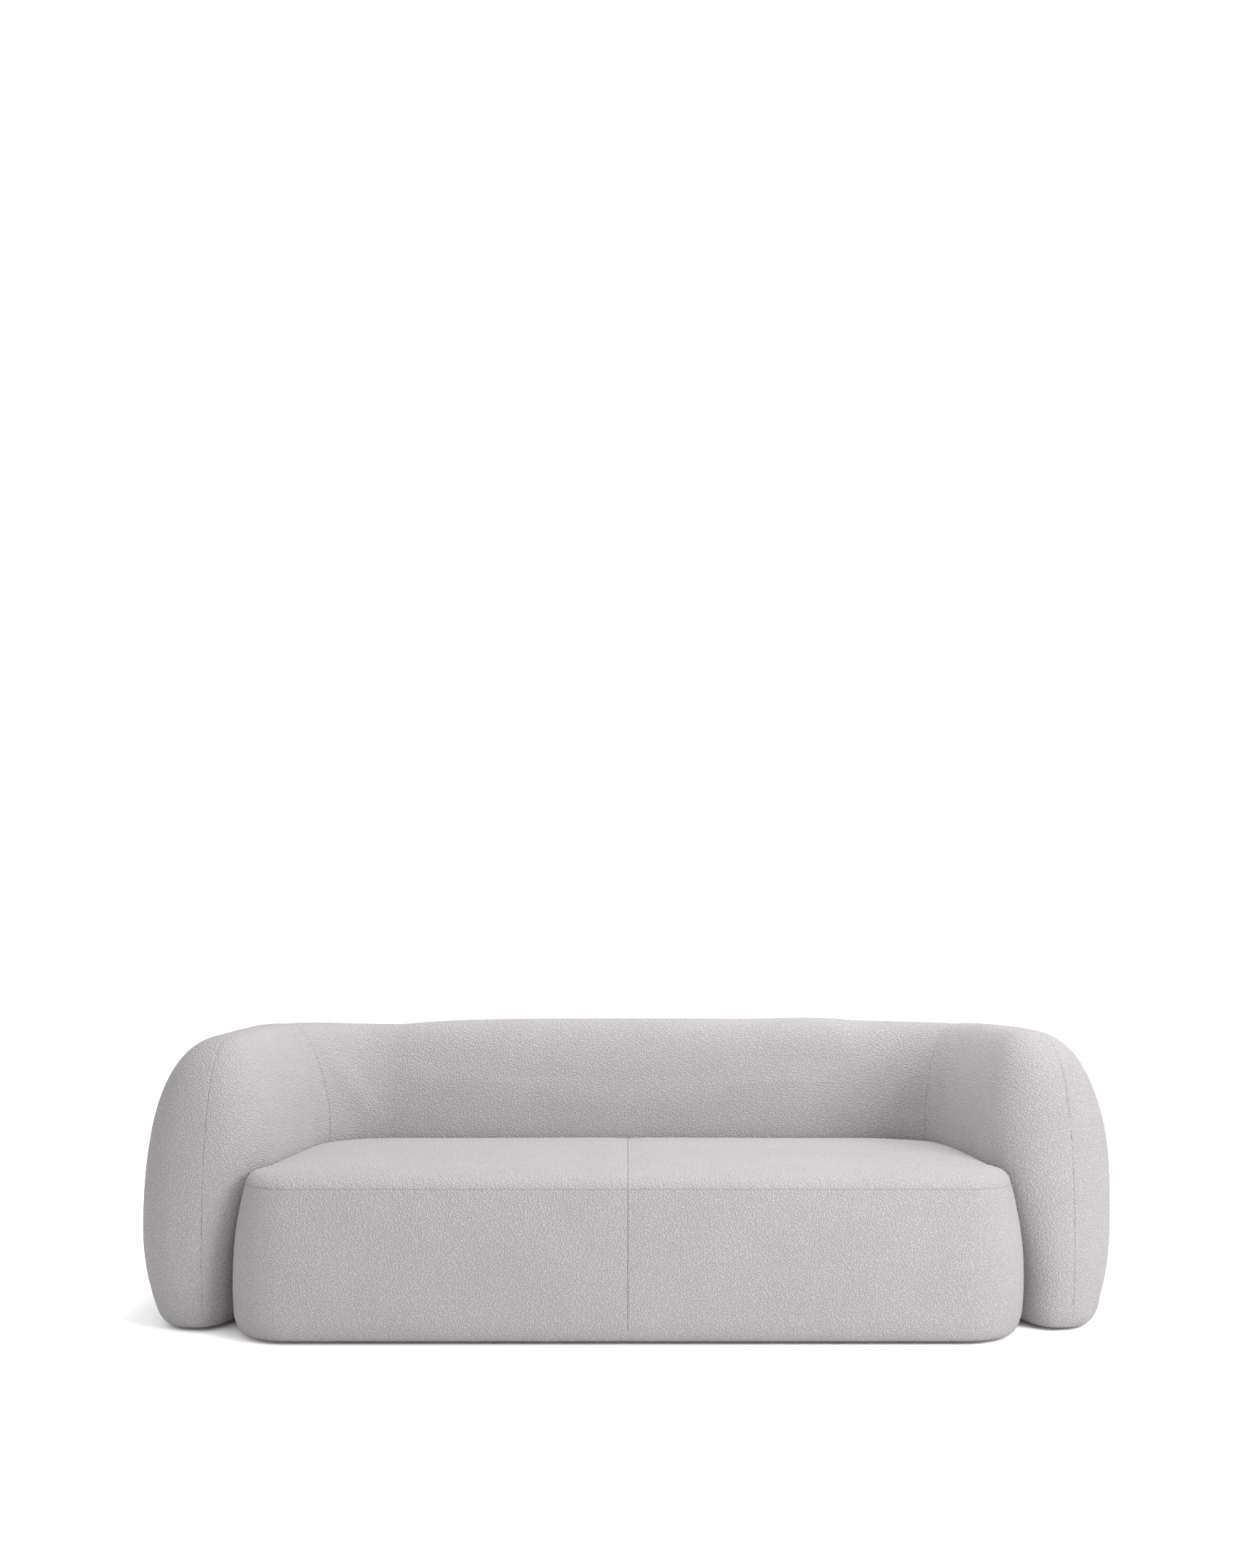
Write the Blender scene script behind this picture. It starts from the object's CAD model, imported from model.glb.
import math
from contextlib import contextmanager

import bmesh
import bpy
import numpy as np
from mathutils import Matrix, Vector, noise
from mathutils.bvhtree import BVHTree


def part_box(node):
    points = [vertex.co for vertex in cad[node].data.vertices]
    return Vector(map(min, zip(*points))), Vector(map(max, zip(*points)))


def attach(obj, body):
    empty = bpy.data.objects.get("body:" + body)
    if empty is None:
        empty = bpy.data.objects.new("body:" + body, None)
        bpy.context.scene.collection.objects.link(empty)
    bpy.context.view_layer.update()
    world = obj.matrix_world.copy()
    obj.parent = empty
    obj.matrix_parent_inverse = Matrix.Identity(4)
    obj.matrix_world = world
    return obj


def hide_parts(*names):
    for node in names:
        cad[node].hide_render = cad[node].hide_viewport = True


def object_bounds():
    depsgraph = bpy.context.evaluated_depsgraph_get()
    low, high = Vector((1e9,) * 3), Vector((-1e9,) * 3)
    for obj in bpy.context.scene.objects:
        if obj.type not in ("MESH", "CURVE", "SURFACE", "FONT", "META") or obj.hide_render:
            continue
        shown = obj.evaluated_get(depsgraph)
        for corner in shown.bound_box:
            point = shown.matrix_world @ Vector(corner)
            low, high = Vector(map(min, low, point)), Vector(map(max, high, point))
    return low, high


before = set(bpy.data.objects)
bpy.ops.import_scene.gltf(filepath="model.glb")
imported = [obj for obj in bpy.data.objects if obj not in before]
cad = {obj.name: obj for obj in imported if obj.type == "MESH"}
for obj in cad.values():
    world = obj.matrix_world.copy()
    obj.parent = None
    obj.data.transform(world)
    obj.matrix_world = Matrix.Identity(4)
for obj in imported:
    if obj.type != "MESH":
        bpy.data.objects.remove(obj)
cad_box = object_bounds()


# Birch plywood frame

# Base boards, ribs, top rails and the seat's base board are sawn from 9 to 18 mm birch plywood, glued
# from 1.4 mm veneers and left bare. The lining boards are 5 mm bendy plywood, stapled round the ribs.
def linear(hex_colour):
    """An sRGB hex colour as the linear RGBA that the shaders read."""
    shares = [int(hex_colour[i : i + 2], 16) / 255 for i in (1, 3, 5)]
    return [s / 12.92 if s <= 0.04045 else ((s + 0.055) / 1.055) ** 2.4 for s in shares] + [1.0]


def set_inputs(tree, node, inputs):
    """A node's inputs, by name or number, set to a value or linked. A node stands for its first output."""
    for key, source in inputs.items():
        socket = node.inputs[key.replace("_", " ") if isinstance(key, str) else key]
        if isinstance(source, bpy.types.Node):
            source = source.outputs[0]
        if isinstance(source, bpy.types.NodeSocket):
            tree.links.new(source, socket)
        else:
            socket.default_value = source


def add_node(tree, kind, numbered=None, stops=(), **settings):
    """A node with its settings and inputs, and the (place, hex colour) stops of a colour ramp."""
    node = tree.nodes.new(kind)
    own = {name: value for name, value in settings.items() if hasattr(node, name)}
    for name, value in own.items():
        setattr(node, name, value)
    set_inputs(tree, node, numbered or {})
    set_inputs(tree, node, {name: value for name, value in settings.items() if name not in own})
    for number, (place, colour) in enumerate(stops):
        elements = node.color_ramp.elements
        element = elements[number] if number < len(elements) else elements.new(1.0)
        element.position = place
        element.color = linear(colour)
    return node


def chain(tree, kind, source, *steps):
    """Nodes of a kind one after another, each with its operation and, where it has one, second input."""
    for operation, *second in steps:
        source = add_node(tree, kind, dict(enumerate([source, *second])), operation=operation)
    return source


def start_material(name, **constants):
    """A new material with its surface's constant inputs set: its tree, surface and coordinates."""
    material = bpy.data.materials.new(name)
    material.use_nodes = True
    tree = material.node_tree
    surface = tree.nodes["Principled BSDF"]
    set_inputs(tree, surface, constants)
    return material, tree, surface, tree.nodes.new("ShaderNodeTexCoord").outputs["Object"]


def birch_plywood():
    """Sanded birch plywood: pale straw faces with fine grain, and darker glue lines every 1.4 mm."""
    veneer, glue_share = 0.0014, 0.12
    grain_length, grain_width = 1 / 6, 1 / 90
    face_tilt = 0.5
    material, tree, surface, place = start_material("birch_plywood_sanded", Roughness=0.62)
    stretch = (1 / grain_length, 1 / grain_width, 1 / grain_width)
    drawn = add_node(tree, "ShaderNodeMapping", Vector=place, Scale=stretch)
    grain = add_node(tree, "ShaderNodeTexNoise", Vector=drawn, Scale=1.6, Detail=5)
    straws = ((0.3, "#B98F5C"), (0.55, "#D2AE7B"), (0.8, "#DDBD8D"))
    straw = add_node(tree, "ShaderNodeValToRGB", {0: grain}, straws)
    height = add_node(tree, "ShaderNodeSeparateXYZ", {0: place}).outputs["Z"]
    layers = (("MULTIPLY", 1 / veneer), ("PINGPONG", 1.0), ("LESS_THAN", glue_share))
    glue = chain(tree, "ShaderNodeMath", height, *layers)
    outward = add_node(tree, "ShaderNodeNewGeometry").outputs["Normal"]
    upward = add_node(tree, "ShaderNodeSeparateXYZ", {0: outward}).outputs["Z"]
    edge = chain(tree, "ShaderNodeMath", upward, ("ABSOLUTE",), ("LESS_THAN", face_tilt))
    lines = chain(tree, "ShaderNodeMath", glue, ("MULTIPLY", edge))
    both = add_node(tree, "ShaderNodeMix", {0: lines, 6: straw, 7: linear("#8A6238")}, data_type="RGBA")
    bump = add_node(tree, "ShaderNodeBump", Height=grain, Strength=0.15, Distance=0.0004)
    set_inputs(tree, surface, {"Base Color": both.outputs[2], "Normal": bump})
    return material


def dress(names, material):
    """CAD pieces that keep their own shape take a material."""
    for name in names:
        cad[name].data.materials.clear()
        cad[name].data.materials.append(material)


SIDES = (("left", -1), ("right", 1))
RIBS = ("arm_front", "arm_rear", "corner", "back")
plywood = birch_plywood()
for part in ("left", "back", "right"):
    dress([f"base_board_{part}", f"top_rail_{part}"], plywood)
dress([f"rib_{part}_{side}" for part in RIBS for side, _ in SIDES], plywood)
dress(["rib_back_middle", "lining_board_inner", "lining_board_outer", "seat_base_board"], plywood)


# Pine seat rails

# Planed pine on edge, 22 by 160 mm, glued and screwed into an oblong frame with a rail down its middle.
# Wide yellow early wood between thin amber late-wood lines that run along each rail.
def planed_pine(name, along_x):
    """Planed pine whose growth rings run along X or along Y, drawn about 10 mm apart so that they show."""
    grain_length, grain_width = 2.0, 1 / 14
    material, tree, surface, place = start_material(name, Roughness=0.55)
    stretch = [1 / grain_width] * 3
    stretch[0 if along_x else 1] = 1 / grain_length
    drawn = add_node(tree, "ShaderNodeMapping", Vector=place, Scale=stretch)
    bend = add_node(tree, "ShaderNodeTexNoise", Vector=drawn, Scale=0.8, Detail=3)
    rings = add_node(
        tree,
        "ShaderNodeTexWave",
        Vector=drawn,
        Phase_Offset=bend,
        Scale=2.2,
        Distortion=3.0,
        Detail=2.0,
        bands_direction="Z",
    )
    woods = ((0.1, "#E6C792"), (0.7, "#D9AE70"), (0.95, "#B47B3E"))
    colour = add_node(tree, "ShaderNodeValToRGB", {0: rings}, woods)
    bump = add_node(tree, "ShaderNodeBump", Height=rings, Strength=0.1, Distance=0.0005)
    set_inputs(tree, surface, {"Base Color": colour, "Normal": bump})
    return material


dress(["seat_rail_front", "seat_rail_back"], planed_pine("pine_planed_lengthways", True))
cross_rails = ["seat_rail_left", "seat_rail_middle", "seat_rail_right"]
dress(cross_rails, planed_pine("pine_planed_crossways", False))


# Screws of the frame

# Zinc-plated pan-head wood screws, 4.2 by 45 mm, with a cross recess. Two at each end of a cross rail
# of the seat go in through the long rail, and two hold the top rail on each rib.
def zinc_plate():
    """Barrel-plated steel: a bluish grey with a soft spangle of 6 mm."""
    spangle_size = 1 / 160
    material, tree, surface, place = start_material("steel_zinc_plated", Metallic=1.0)
    spangle = add_node(tree, "ShaderNodeTexVoronoi", Vector=place, Scale=1 / spangle_size)
    colour = add_node(tree, "ShaderNodeValToRGB", {0: spangle}, ((0.0, "#A3A8AD"), (1.0, "#B9BEC2")))
    rough = add_node(tree, "ShaderNodeMapRange", {0: spangle}, To_Min=0.28, To_Max=0.42)
    set_inputs(tree, surface, {"Base Color": colour, "Roughness": rough})
    return material


zinc = zinc_plate()


def geometry_tree(name, **sizes):
    """A geometry tree that takes and gives a mesh, with a named input for each size in metres."""
    tree = bpy.data.node_groups.new(name, "GeometryNodeTree")
    tree.interface.new_socket("Geometry", in_out="OUTPUT", socket_type="NodeSocketGeometry")
    tree.interface.new_socket("Geometry", in_out="INPUT", socket_type="NodeSocketGeometry")
    for key, value in sizes.items():
        tree.interface.new_socket(key, in_out="INPUT", socket_type="NodeSocketFloat").default_value = value
    return tree, tree.nodes.new("NodeGroupInput").outputs


def finish_tree(tree, spots, shape, rotation):
    """The shape set on each spot, made real, in zinc."""
    placed = add_node(tree, "GeometryNodeInstanceOnPoints", Points=spots, Instance=shape, Rotation=rotation)
    real = add_node(tree, "GeometryNodeRealizeInstances", {0: placed})
    bare = add_node(tree, "GeometryNodeRemoveAttribute", Geometry=real, Name="aim")
    coated = add_node(tree, "GeometryNodeSetMaterial", Geometry=bare, Material=zinc)
    add_node(tree, "NodeGroupOutput", {0: coated})
    return tree


def guide_mesh(name, points, aims, edges=()):
    """Points that a tree sets things on. Each carries its aim, a vector."""
    mesh = bpy.data.meshes.new(name)
    mesh.from_pydata(points, edges, [])
    mesh.attributes.new("aim", "FLOAT_VECTOR", "POINT").data.foreach_set("vector", np.ravel(aims))
    return mesh


def placed_object(name, data):
    piece = bpy.data.objects.new(name, data)
    bpy.context.collection.objects.link(piece)
    return piece


def baked(piece):
    """The piece's modifiers made part of its mesh."""
    evaluated = piece.evaluated_get(bpy.context.evaluated_depsgraph_get())
    mesh = bpy.data.meshes.new_from_object(evaluated)
    piece.modifiers.clear()
    piece.data = mesh
    return mesh


def coat(mesh, material):
    mesh.materials.clear()
    mesh.materials.append(material)


def set_along(name, tree, mesh, **sizes):
    """A tree run over a guide mesh, as one steel piece. A size is given where it isn't the usual one."""
    piece = placed_object(name, mesh)
    modifier = piece.modifiers.new(name, "NODES")
    modifier.node_group = tree
    for socket in tree.interface.items_tree:
        if socket.in_out == "INPUT" and socket.name in sizes:
            modifier[socket.identifier] = sizes[socket.name]
    coat(baked(piece), zinc)
    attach(piece, "root")


def screw_tree():
    """A domed head with a cross recess, and a tapered shank. The head points along each vertex's aim."""
    tree, given = geometry_tree("screws", Head=0.0084, Dome=0.0026, Shank=0.0042, Length=0.045)
    dome_power, dome_share = 2.5, 0.35
    recess_shares, shank_shares = (0.5, 0.13), (0.5, 0.12)
    rim = chain(tree, "ShaderNodeMath", given["Head"], ("MULTIPLY", 0.5))
    sizes = {"Radius Top": rim, "Radius Bottom": rim, "Depth": given["Dome"]}
    drum = add_node(tree, "GeometryNodeMeshCone", sizes, Vertices=16, Side_Segments=3)
    place = add_node(tree, "GeometryNodeInputPosition")
    x, y, z = add_node(tree, "ShaderNodeSeparateXYZ", {0: place}).outputs
    curve = (("DIVIDE", given["Dome"]), ("POWER", dome_power), ("MULTIPLY", -dome_share), ("ADD", 1.0))
    narrow = chain(tree, "ShaderNodeMath", z, *curve)
    wide = [chain(tree, "ShaderNodeMath", axis, ("MULTIPLY", narrow)) for axis in (x, y)]
    dome = add_node(tree, "ShaderNodeCombineXYZ", {0: wide[0], 1: wide[1], 2: z})
    head = add_node(tree, "GeometryNodeSetPosition", Geometry=drum, Position=dome)
    cuts = [("MULTIPLY", share) for share in recess_shares]
    long, thin = (chain(tree, "ShaderNodeMath", given["Head"], step) for step in cuts)
    cut = add_node(tree, "GeometryNodeMeshBoolean", Mesh_1=head, operation="DIFFERENCE", solver="EXACT")
    for across, along in ((long, thin), (thin, long)):
        size = add_node(tree, "ShaderNodeCombineXYZ", {0: across, 1: along, 2: given["Dome"]})
        bar = add_node(tree, "GeometryNodeMeshCube", Size=size)
        lift = add_node(tree, "ShaderNodeCombineXYZ", {2: given["Dome"]})
        lifted = add_node(tree, "GeometryNodeTransform", Geometry=bar, Translation=lift)
        set_inputs(tree, cut, {"Mesh 2": lifted})
    ends = [("MULTIPLY", share) for share in shank_shares]
    thick, point = (chain(tree, "ShaderNodeMath", given["Shank"], step) for step in ends)
    sizes = {"Radius Top": thick, "Radius Bottom": point, "Depth": given["Length"]}
    shank = add_node(tree, "GeometryNodeMeshCone", sizes, Vertices=10)
    depth = chain(tree, "ShaderNodeMath", given["Length"], ("MULTIPLY", -1.0))
    down = add_node(tree, "ShaderNodeCombineXYZ", {2: depth})
    driven = add_node(tree, "GeometryNodeTransform", Geometry=shank, Translation=down)
    screw = add_node(tree, "GeometryNodeJoinGeometry")
    for part in (cut, driven):
        set_inputs(tree, screw, {0: part})
    aim = add_node(tree, "GeometryNodeInputNamedAttribute", Name="aim", data_type="FLOAT_VECTOR")
    turned = add_node(tree, "FunctionNodeAlignRotationToVector", Vector=aim, axis="Z")
    quarter = {2: 0.0, 3: math.pi / 2}
    spin = add_node(tree, "FunctionNodeRandomValue", quarter, data_type="FLOAT", Seed=5).outputs[1]
    spun = add_node(tree, "FunctionNodeAxisAngleToRotation", Axis=(0, 0, 1), Angle=spin)
    both = add_node(tree, "FunctionNodeRotateRotation", {0: turned, 1: spun}, rotation_space="LOCAL")
    return finish_tree(tree, given["Geometry"], screw, both)


rail_screw_heights = (0.06, 0.145)
points, aims = [], []
for rail, face, aim in (("seat_rail_front", 0, -1), ("seat_rail_back", 1, 1)):
    for end in cross_rails:
        low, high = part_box(end)
        for height in rail_screw_heights:
            points.append(((low[0] + high[0]) / 2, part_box(rail)[face][1], height))
            aims.append((0, aim, 0))
screws = screw_tree()
set_along("rail_screws", screws, guide_mesh("rail_screws", points, aims))

screw_insets = (-0.005, 0.05)
inward_of_ribs = {"back_middle": (0, -1), "back_right": (0, -1), "corner_right": (-0.6, -0.8)}
inward_of_ribs |= {"arm_rear_right": (-1, 0), "arm_front_right": (-1, 0)}
points = []
for rib, inward in inward_of_ribs.items():
    low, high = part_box(f"rib_{rib}")
    for side in (-1, 1) if "right" in rib else (1,):
        for inset in screw_insets:
            x, y = ((low[axis] + high[axis]) / 2 + inward[axis] * inset for axis in (0, 1))
            points.append((side * x, y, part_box("top_rail_back")[1][2]))
set_along("top_rail_screws", screws, guide_mesh("top_rail_screws", points, [(0, 0, 1)] * len(points)))


# Elastic webbing

# Six black elastic straps, 80 mm wide, stretched front to back over the rails and stapled down.
# A plain weave of polypropylene yarn over rubber cores, about 2.2 mm a thread. Two rows of zinc-plated
# wire staples hold each end on its rail.
def elastic_webbing():
    """Woven elastic webbing: small ribs both ways and a dull grey-black yarn."""
    thread = 0.0022
    material, tree, surface, place = start_material("elastic_webbing_woven", Roughness=0.8)
    ribs = []
    for axis in add_node(tree, "ShaderNodeSeparateXYZ", {0: place}).outputs[:2]:
        waves = (("MULTIPLY", math.pi / thread), ("SINE",), ("ABSOLUTE",))
        ribs.append(chain(tree, "ShaderNodeMath", axis, *waves))
    weave = chain(tree, "ShaderNodeMath", ribs[0], ("MULTIPLY", ribs[1]))
    yarns = ((0.0, "#121214"), (0.6, "#2B2B2E"), (1.0, "#3C3C40"))
    colour = add_node(tree, "ShaderNodeValToRGB", {0: weave}, yarns)
    bump = add_node(tree, "ShaderNodeBump", Height=weave, Strength=0.6, Distance=0.0006)
    set_inputs(tree, surface, {"Base Color": colour, "Normal": bump})
    return material


straps = [f"seat_strap_{side}_{number}" for side, _ in SIDES for number in (1, 2, 3)]
dress(straps, elastic_webbing())


def staple_tree():
    """Wire staples along a path, drawn in from it along its aim. Legs of a negative length point down."""
    sizes = {"Spacing": 0.04, "Inset": 0.02, "Crown": 0.0127, "Wire": 0.001, "Leg": 0.008}
    tree, given = geometry_tree("staples", **sizes)
    corners, middle, flat_share, sway = 4, 1.5, 0.7, 0.1
    number = add_node(tree, "GeometryNodeInputIndex")
    corner = chain(tree, "ShaderNodeMath", number, ("SUBTRACT", middle))
    half = chain(tree, "ShaderNodeMath", given["Crown"], ("MULTIPLY", 0.5))
    across = chain(tree, "ShaderNodeMath", corner, ("SIGN",), ("MULTIPLY", half))
    tip = chain(tree, "ShaderNodeMath", corner, ("ABSOLUTE",), ("GREATER_THAN", 1.0))
    drop = chain(tree, "ShaderNodeMath", tip, ("MULTIPLY", given["Leg"]))
    place = add_node(tree, "ShaderNodeCombineXYZ", {0: across, 2: drop})
    line = add_node(tree, "GeometryNodeMeshLine", Count=corners)
    bent = add_node(tree, "GeometryNodeSetPosition", Geometry=line, Position=place)
    wire = add_node(tree, "GeometryNodeMeshToCurve", {0: bent})
    bend = given["Wire"]
    eased = add_node(tree, "GeometryNodeFilletCurve", mode="POLY", Curve=wire, Radius=bend, Count=2)
    flat = chain(tree, "ShaderNodeMath", given["Wire"], ("MULTIPLY", flat_share))
    section = add_node(tree, "GeometryNodeCurvePrimitiveQuadrilateral", Width=given["Wire"], Height=flat)
    staple = add_node(tree, "GeometryNodeCurveToMesh", Curve=eased, Profile_Curve=section, Fill_Caps=True)
    path = add_node(tree, "GeometryNodeMeshToCurve", {0: given["Geometry"]})
    spots = add_node(tree, "GeometryNodeResampleCurve", mode="LENGTH", Curve=path, Length=given["Spacing"])
    aim = add_node(tree, "GeometryNodeInputNamedAttribute", Name="aim", data_type="FLOAT_VECTOR")
    inward = add_node(tree, "ShaderNodeVectorMath", {0: aim}, Scale=given["Inset"], operation="SCALE")
    drawn_in = add_node(tree, "GeometryNodeSetPosition", Geometry=spots, Offset=inward)
    tangent = add_node(tree, "GeometryNodeInputTangent")
    least_and_most = {0: (-sway, -sway, 0), 1: (sway, sway, 0)}
    swayed = add_node(tree, "FunctionNodeRandomValue", least_and_most, data_type="FLOAT_VECTOR", Seed=3)
    way = chain(tree, "ShaderNodeVectorMath", tangent, ("ADD", swayed))
    turned = add_node(tree, "FunctionNodeAlignRotationToVector", Vector=way, axis="X", pivot_axis="Z")
    return finish_tree(tree, drawn_in, staple, turned)


staples = staple_tree()
strap_margin, near_row, far_row = 0.01, 0.007, 0.015
points, edges = [], []
for strap in straps:
    low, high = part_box(strap)
    for y in (low[1] + near_row, low[1] + far_row, high[1] - far_row, high[1] - near_row):
        edges.append((len(points), len(points) + 1))
        points += [(low[0] + strap_margin, y, high[2]), (high[0] - strap_margin, y, high[2])]
guide = guide_mesh("webbing_staples", points, [(0, 0, 0)] * len(points), edges)
set_along("webbing_staples", staples, guide, Spacing=0.02, Leg=-0.008)


# Foam

# Open-cell polyurethane foam, cut in shells for the back, corners and arms and glued over the lining,
# and for the seat a firm core with a softer topper. Its edges are soft and its faces slack by a little.
def polyurethane_foam(name, light, dark):
    """Cut open-cell foam: pale yellow with pores of about 1.5 mm, drawn as 3 mm ones so that they show."""
    pore, cloud = 0.003, 1 / 9
    material, tree, surface, place = start_material(name, Roughness=0.9, Subsurface_Weight=0.05)
    cells = add_node(tree, "ShaderNodeTexVoronoi", Vector=place, Scale=1 / pore)
    clouds = add_node(tree, "ShaderNodeTexNoise", Vector=place, Scale=1 / cloud, Detail=2)
    mixed = chain(tree, "ShaderNodeMath", cells, ("MULTIPLY", clouds))
    colour = add_node(tree, "ShaderNodeValToRGB", {0: mixed}, ((0.05, dark), (0.35, light)))
    bump = add_node(tree, "ShaderNodeBump", Height=cells, Strength=0.5, Distance=0.001)
    set_inputs(tree, surface, {"Base Color": colour, "Normal": bump})
    return material


@contextmanager
def opened(mesh):
    """The mesh with its faces open to changes, which it takes at the end."""
    shell = bmesh.new()
    shell.from_mesh(mesh)
    shell.verts.ensure_lookup_table()
    shell.faces.ensure_lookup_table()
    yield shell
    shell.to_mesh(mesh)
    shell.free()


def draw_in(piece, name, depth):
    """A modifier that lays the faces further in."""
    step = piece.modifiers.new(name, "DISPLACE")
    step.strength = -depth
    step.mid_level = 0


def foam_piece(node, name, material):
    """A foam piece in its CAD solid's place: edges rounded, faces drawn in to clear the cover's seams."""
    edge_softness, slack = 0.014, 0.013
    piece = placed_object(name, cad[node].data.copy())
    with opened(piece.data) as shell:
        bmesh.ops.remove_doubles(shell, verts=shell.verts, dist=1e-6)
    remesh = piece.modifiers.new("even", "REMESH")
    remesh.mode = "VOXEL"
    remesh.voxel_size = edge_softness
    draw_in(piece, "slacken", slack)
    piece.modifiers.new("relax", "SMOOTH").iterations = 4
    draw_in(piece, "settle", slack / 3)
    mesh = baked(piece)
    coat(mesh, material)
    mesh.shade_smooth()
    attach(piece, "root")
    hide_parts(node)


firm_foam = polyurethane_foam("polyurethane_foam_firm", "#E7DDB0", "#C9B57C")
soft_foam = polyurethane_foam("polyurethane_foam_soft", "#EFE8CC", "#D2C69B")
for part in ("arm_foam_left", "arm_foam_right", "corner_foam_left", "corner_foam_right", "back_foam"):
    foam_piece(part, part.replace("foam", "pad"), firm_foam)
foam_piece("seat_foam_core", "seat_pad_core", firm_foam)
foam_piece("seat_foam_topper", "seat_pad_topper", soft_foam)


# Boucle cloth

# Upholstery boucle: a woven ground hidden under looped slub yarn, warm light grey with a breath of
# lilac. The loops stand 2 mm proud in nubs of about 4 mm, so the eye sees a soft, matt, curdled grain.
def boucle():
    """Looped pile: domed nubs in warped cells, finer yarn on them, and darker gaps between them."""
    nub, patch_size = 0.0042, 1 / 7
    drift_length, warp, yarn_size, yarn_share = nub / 0.4, 0.3 * nub, nub / 2, 0.1
    material, tree, surface, place = start_material(
        "boucle_wool_mix_looped",
        Roughness=0.95,
        Sheen_Weight=0.3,
        Sheen_Roughness=0.5,
        Sheen_Tint=linear("#F4F0F1"),
        Specular_IOR_Level=0.2,
    )
    drift = add_node(tree, "ShaderNodeTexNoise", Vector=place, Scale=1 / drift_length, Detail=1.0)
    bend = chain(tree, "ShaderNodeVectorMath", drift.outputs["Color"], ("SUBTRACT", (0.5, 0.5, 0.5)))
    bent = add_node(tree, "ShaderNodeVectorMath", {0: bend}, Scale=warp, operation="SCALE")
    curled = chain(tree, "ShaderNodeVectorMath", place, ("ADD", bent))
    loops = add_node(tree, "ShaderNodeTexVoronoi", Vector=curled, Scale=1 / nub, Randomness=0.9)
    strands = {"Scale": 1 / yarn_size, "Detail": 1.0, "Roughness": 0.6}
    yarn = add_node(tree, "ShaderNodeTexNoise", strands, Vector=curled)
    fuzz = chain(tree, "ShaderNodeMath", yarn, ("MULTIPLY", yarn_share))
    raised = chain(tree, "ShaderNodeMath", 1.0, ("SUBTRACT", loops), ("ADD", fuzz))
    pile = add_node(tree, "ShaderNodeMapRange", {0: raised}, From_Min=0.3, From_Max=1.3)
    greys = ((0.2, "#BFBBBD"), (0.5, "#D9D6D8"), (0.8, "#EBE9EB"))
    shades = add_node(tree, "ShaderNodeValToRGB", {0: pile}, greys)
    patch = add_node(tree, "ShaderNodeTexNoise", Vector=place, Scale=1 / patch_size, Detail=3)
    worn = add_node(tree, "ShaderNodeValToRGB", {0: patch}, ((0.3, "#FAF9FA"), (0.7, "#FFFFFF")))
    layers = {0: 1.0, 6: shades, 7: worn}
    colour = add_node(tree, "ShaderNodeMix", layers, data_type="RGBA", blend_type="MULTIPLY")
    bump = add_node(tree, "ShaderNodeBump", Height=pile, Strength=1.0, Distance=0.004)
    set_inputs(tree, surface, {"Base Color": colour.outputs[2], "Normal": bump})
    return material


cloth = boucle()


# Shape of the covers

# The wrap-around unit follows one plan line: a straight arm that toes in, a round corner, a straight
# back. Its section swells over the seat and rounds off to the crest. These are the sizes of the solids,
# in millimetres, as the pattern maker has them.
MM = 0.001
WIDTH, DEPTH, HEIGHT = (round((high - low) / MM) for low, high in zip(*cad_box))
FLOOR_GAP = 10
TOE = math.radians(6)
SIN_TOE, COS_TOE = math.sin(TOE), math.cos(TOE)

# The wrap-around unit: its wall from the nose to the middle of the back, its crest and its nose
INNER_RADIUS = 215
NOSE_THICKNESS, ARM_THICKNESS, CORNER_THICKNESS, BACK_THICKNESS = 309, 340, 290, 310
CREST_OFFSET = 108
CREST_DROP, MIDDLE_DROP = 20, 4
LEAN = 3
ROUND_START, ROUND_POWER = 300, 2.45
NOSE_LENGTH, NOSE_POWER = 175, 2.2
NOSE_SET_BACK, NOSE_FALL, NOSE_ROUND_START, NOSE_TOP_OFFSET = 105, 215, 190, 150

# The seat block: its height, swell and roundings
SEAT_HEIGHT, SHOULDER_RISE, SEAM_DROP = 400, 30, 29
SHOULDER = SEAT_HEIGHT + SHOULDER_RISE
SEAM_HEIGHT = SEAT_HEIGHT - SEAM_DROP
BULGE, BULGE_HEIGHT = 55, 115
SEAT_CLEARANCE = 1.5
SEAM_SET_BACK, FRONT_POWER = 20, 2.2
CORNER_FULLER, CORNER_SEAM_FULLER = 5, 10
FRONT_RADIUS = 104
FRONT_ROUND, CORNER_ROUND, SIDE_ROUND = 68, 36, 13
PRESSED_WITHIN = 64
EDGE_RISE, EDGE_FALL, CROWN = 6, 9, 5

# Feet: from this height down the cloth is drawn in by this much
SEAT_FOOT, INNER_FOOT, OUTER_FOOT, NOSE_FOOT = (BULGE_HEIGHT, 32), (90, 25), (270, 72), (190, 42)

# How many stations lie on half the back, on a corner, on an arm and round a nose
BACK_COUNT, CORNER_COUNT, ARM_COUNT, NOSE_COUNT = 48, 30, 26, 43

BACK_INNER_Y = DEPTH / 2 - BACK_THICKNESS
NOSE_TIP_Y = -DEPTH / 2 + NOSE_SET_BACK
CORNER_Y = BACK_INNER_Y - INNER_RADIUS
ARM_LENGTH = (CORNER_Y - NOSE_TIP_Y + INNER_RADIUS * SIN_TOE) / COS_TOE


def lerp(a, b, share):
    """The value a share of the way from a to b."""
    return a + (b - a) * share


def smooth(share):
    """A share that starts and stops gently."""
    share = np.clip(share, 0, 1)
    return share * share * (3 - 2 * share)


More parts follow.
